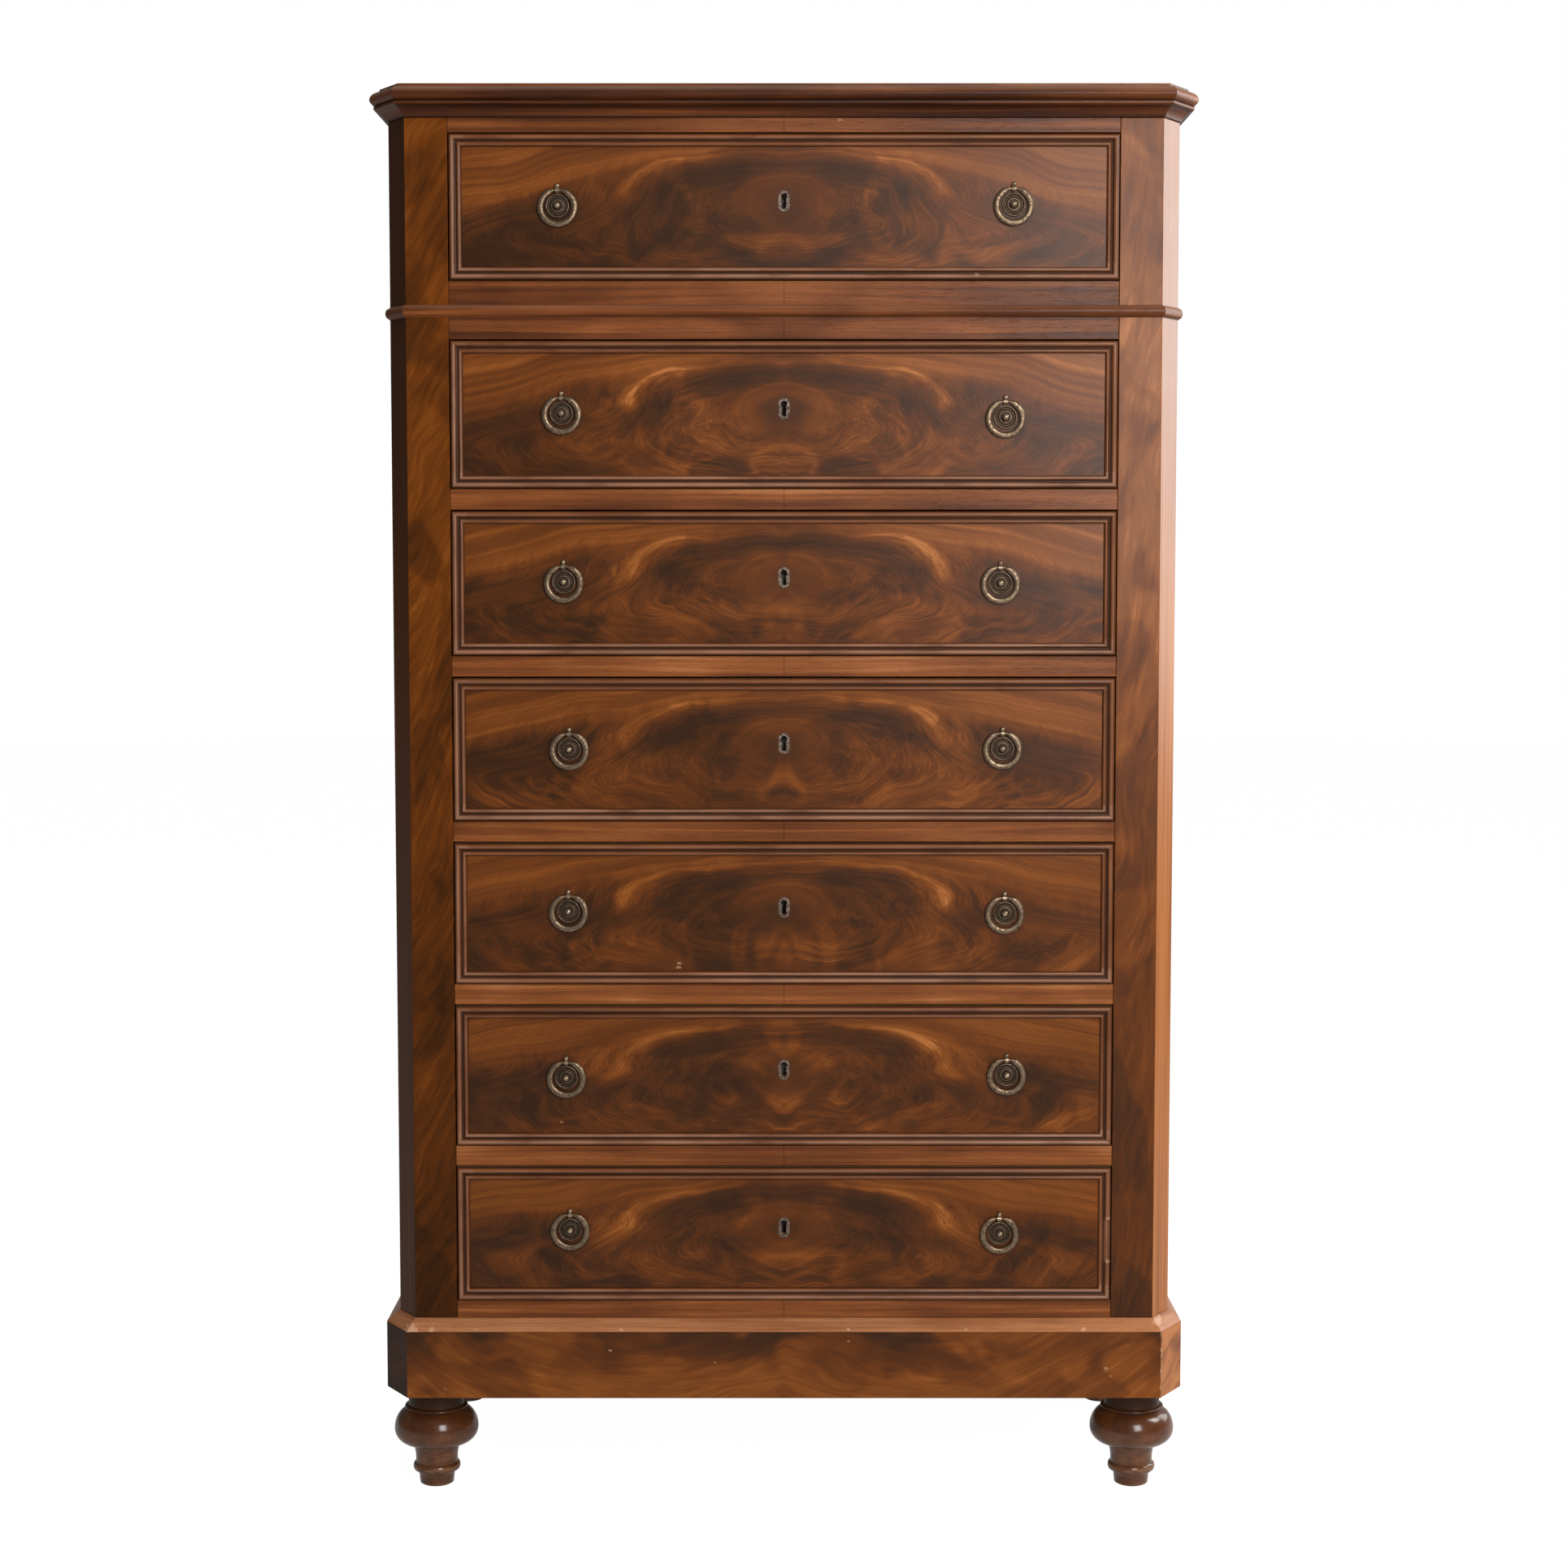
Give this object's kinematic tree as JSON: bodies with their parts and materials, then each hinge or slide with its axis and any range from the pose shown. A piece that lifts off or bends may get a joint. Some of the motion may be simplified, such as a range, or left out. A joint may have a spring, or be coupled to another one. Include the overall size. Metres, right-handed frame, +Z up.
{
  "type": "chest of drawers",
  "caption": "Tall narrow wooden chest of stacked drawers with beaded fronts, ring pulls, canted corners, a moulded cornice, a plinth and turned feet.",
  "frame": {"origin": "on the floor, below the centre of the chest's outer box", "axes": "+Z up; -Y out of the drawer fronts; +X to the right as one faces the drawers"},
  "size_m": [0.873, 0.424, 1.5],
  "materials": {
    "veneer": "polished figured veneer",
    "polished_wood": "polished",
    "pale_wood": "planed, unfinished",
    "bronze": "dark patina, worn bright",
    "lining_metal": "worn and dull",
    "lock_steel": "filed, dark"
  },
  "bodies": {
    "carcass": {"top_with_cornice": "polished_wood", "left_side": "polished_wood", "right_side": "polished_wood", "left_post": "veneer", "right_post": "veneer", "back_panel": "pale_wood", "plinth": "veneer", "waist_frame": "polished_wood", "runner_frame_2": "polished_wood", "runner_frame_3": "polished_wood", "runner_frame_4": "polished_wood", "runner_frame_5": "polished_wood", "runner_frame_6": "polished_wood", "runner_frame_7": "polished_wood", "front_left_foot": "polished_wood", "front_right_foot": "polished_wood", "rear_left_foot": "polished_wood", "rear_right_foot": "polished_wood"},
    "drawer_1": {"drawer_1_front": "veneer", "drawer_1_box": "pale_wood", "drawer_1_left_rosette": "bronze", "drawer_1_right_rosette": "bronze"},
    "drawer_2": {"drawer_2_front": "veneer", "drawer_2_box": "pale_wood", "drawer_2_left_rosette": "bronze", "drawer_2_right_rosette": "bronze"},
    "drawer_3": {"drawer_3_front": "veneer", "drawer_3_box": "pale_wood", "drawer_3_left_rosette": "bronze", "drawer_3_right_rosette": "bronze"},
    "drawer_4": {"drawer_4_front": "veneer", "drawer_4_box": "pale_wood", "drawer_4_left_rosette": "bronze", "drawer_4_right_rosette": "bronze"},
    "drawer_5": {"drawer_5_front": "veneer", "drawer_5_box": "pale_wood", "drawer_5_left_rosette": "bronze", "drawer_5_right_rosette": "bronze"},
    "drawer_6": {"drawer_6_front": "veneer", "drawer_6_box": "pale_wood", "drawer_6_left_rosette": "bronze", "drawer_6_right_rosette": "bronze"},
    "drawer_7": {"drawer_7_front": "veneer", "drawer_7_box": "pale_wood", "drawer_7_left_rosette": "bronze", "drawer_7_right_rosette": "bronze"},
    "drawer_1_left_ring": {"drawer_1_left_ring": "bronze"},
    "drawer_1_right_ring": {"drawer_1_right_ring": "bronze"},
    "drawer_2_left_ring": {"drawer_2_left_ring": "bronze"},
    "drawer_2_right_ring": {"drawer_2_right_ring": "bronze"},
    "drawer_3_left_ring": {"drawer_3_left_ring": "bronze"},
    "drawer_3_right_ring": {"drawer_3_right_ring": "bronze"},
    "drawer_4_left_ring": {"drawer_4_left_ring": "bronze"},
    "drawer_4_right_ring": {"drawer_4_right_ring": "bronze"},
    "drawer_5_left_ring": {"drawer_5_left_ring": "bronze"},
    "drawer_5_right_ring": {"drawer_5_right_ring": "bronze"},
    "drawer_6_left_ring": {"drawer_6_left_ring": "bronze"},
    "drawer_6_right_ring": {"drawer_6_right_ring": "bronze"},
    "drawer_7_left_ring": {"drawer_7_left_ring": "bronze"},
    "drawer_7_right_ring": {"drawer_7_right_ring": "bronze"}
  },
  "joints": [
    {"name": "drawer_1_slide", "type": "slide", "parent": "carcass", "child": "drawer_1", "axis": [0, -1, 0], "range_m": [0, 0.3]},
    {"name": "drawer_2_slide", "type": "slide", "parent": "carcass", "child": "drawer_2", "axis": [0, -1, 0], "range_m": [0, 0.3]},
    {"name": "drawer_3_slide", "type": "slide", "parent": "carcass", "child": "drawer_3", "axis": [0, -1, 0], "range_m": [0, 0.3]},
    {"name": "drawer_4_slide", "type": "slide", "parent": "carcass", "child": "drawer_4", "axis": [0, -1, 0], "range_m": [0, 0.3]},
    {"name": "drawer_5_slide", "type": "slide", "parent": "carcass", "child": "drawer_5", "axis": [0, -1, 0], "range_m": [0, 0.3]},
    {"name": "drawer_6_slide", "type": "slide", "parent": "carcass", "child": "drawer_6", "axis": [0, -1, 0], "range_m": [0, 0.3]},
    {"name": "drawer_7_slide", "type": "slide", "parent": "carcass", "child": "drawer_7", "axis": [0, -1, 0], "range_m": [0, 0.3]},
    {"name": "drawer_1_left_ring_swing", "type": "hinge", "parent": "drawer_1", "child": "drawer_1_left_ring", "pos_m": [-0.2368, -0.196, 1.39116], "axis": [-1, 0, 0], "range_deg": [0, 160]},
    {"name": "drawer_1_right_ring_swing", "type": "hinge", "parent": "drawer_1", "child": "drawer_1_right_ring", "pos_m": [0.24, -0.196, 1.39266], "axis": [-1, 0, 0], "range_deg": [0, 160]},
    {"name": "drawer_2_left_ring_swing", "type": "hinge", "parent": "drawer_2", "child": "drawer_2_left_ring", "pos_m": [-0.234, -0.196, 1.17581], "axis": [-1, 0, 0], "range_deg": [0, 160]},
    {"name": "drawer_2_right_ring_swing", "type": "hinge", "parent": "drawer_2", "child": "drawer_2_right_ring", "pos_m": [0.2327, -0.196, 1.17191], "axis": [-1, 0, 0], "range_deg": [0, 160]},
    {"name": "drawer_3_left_ring_swing", "type": "hinge", "parent": "drawer_3", "child": "drawer_3_left_ring", "pos_m": [-0.2326, -0.196, 0.99922], "axis": [-1, 0, 0], "range_deg": [0, 160]},
    {"name": "drawer_3_right_ring_swing", "type": "hinge", "parent": "drawer_3", "child": "drawer_3_right_ring", "pos_m": [0.2284, -0.196, 0.99812], "axis": [-1, 0, 0], "range_deg": [0, 160]},
    {"name": "drawer_4_left_ring_swing", "type": "hinge", "parent": "drawer_4", "child": "drawer_4_left_ring", "pos_m": [-0.2277, -0.196, 0.82243], "axis": [-1, 0, 0], "range_deg": [0, 160]},
    {"name": "drawer_4_right_ring_swing", "type": "hinge", "parent": "drawer_4", "child": "drawer_4_right_ring", "pos_m": [0.2314, -0.196, 0.82313], "axis": [-1, 0, 0], "range_deg": [0, 160]},
    {"name": "drawer_5_left_ring_swing", "type": "hinge", "parent": "drawer_5", "child": "drawer_5_left_ring", "pos_m": [-0.2294, -0.196, 0.64969], "axis": [-1, 0, 0], "range_deg": [0, 160]},
    {"name": "drawer_5_right_ring_swing", "type": "hinge", "parent": "drawer_5", "child": "drawer_5_right_ring", "pos_m": [0.2348, -0.196, 0.64769], "axis": [-1, 0, 0], "range_deg": [0, 160]},
    {"name": "drawer_6_left_ring_swing", "type": "hinge", "parent": "drawer_6", "child": "drawer_6_left_ring", "pos_m": [-0.2327, -0.196, 0.47095], "axis": [-1, 0, 0], "range_deg": [0, 160]},
    {"name": "drawer_6_right_ring_swing", "type": "hinge", "parent": "drawer_6", "child": "drawer_6_right_ring", "pos_m": [0.2377, -0.196, 0.47375], "axis": [-1, 0, 0], "range_deg": [0, 160]},
    {"name": "drawer_7_left_ring_swing", "type": "hinge", "parent": "drawer_7", "child": "drawer_7_left_ring", "pos_m": [-0.2295, -0.196, 0.30571], "axis": [-1, 0, 0], "range_deg": [0, 160]},
    {"name": "drawer_7_right_ring_swing", "type": "hinge", "parent": "drawer_7", "child": "drawer_7_right_ring", "pos_m": [0.2311, -0.196, 0.30181], "axis": [-1, 0, 0], "range_deg": [0, 160]}
  ]
}
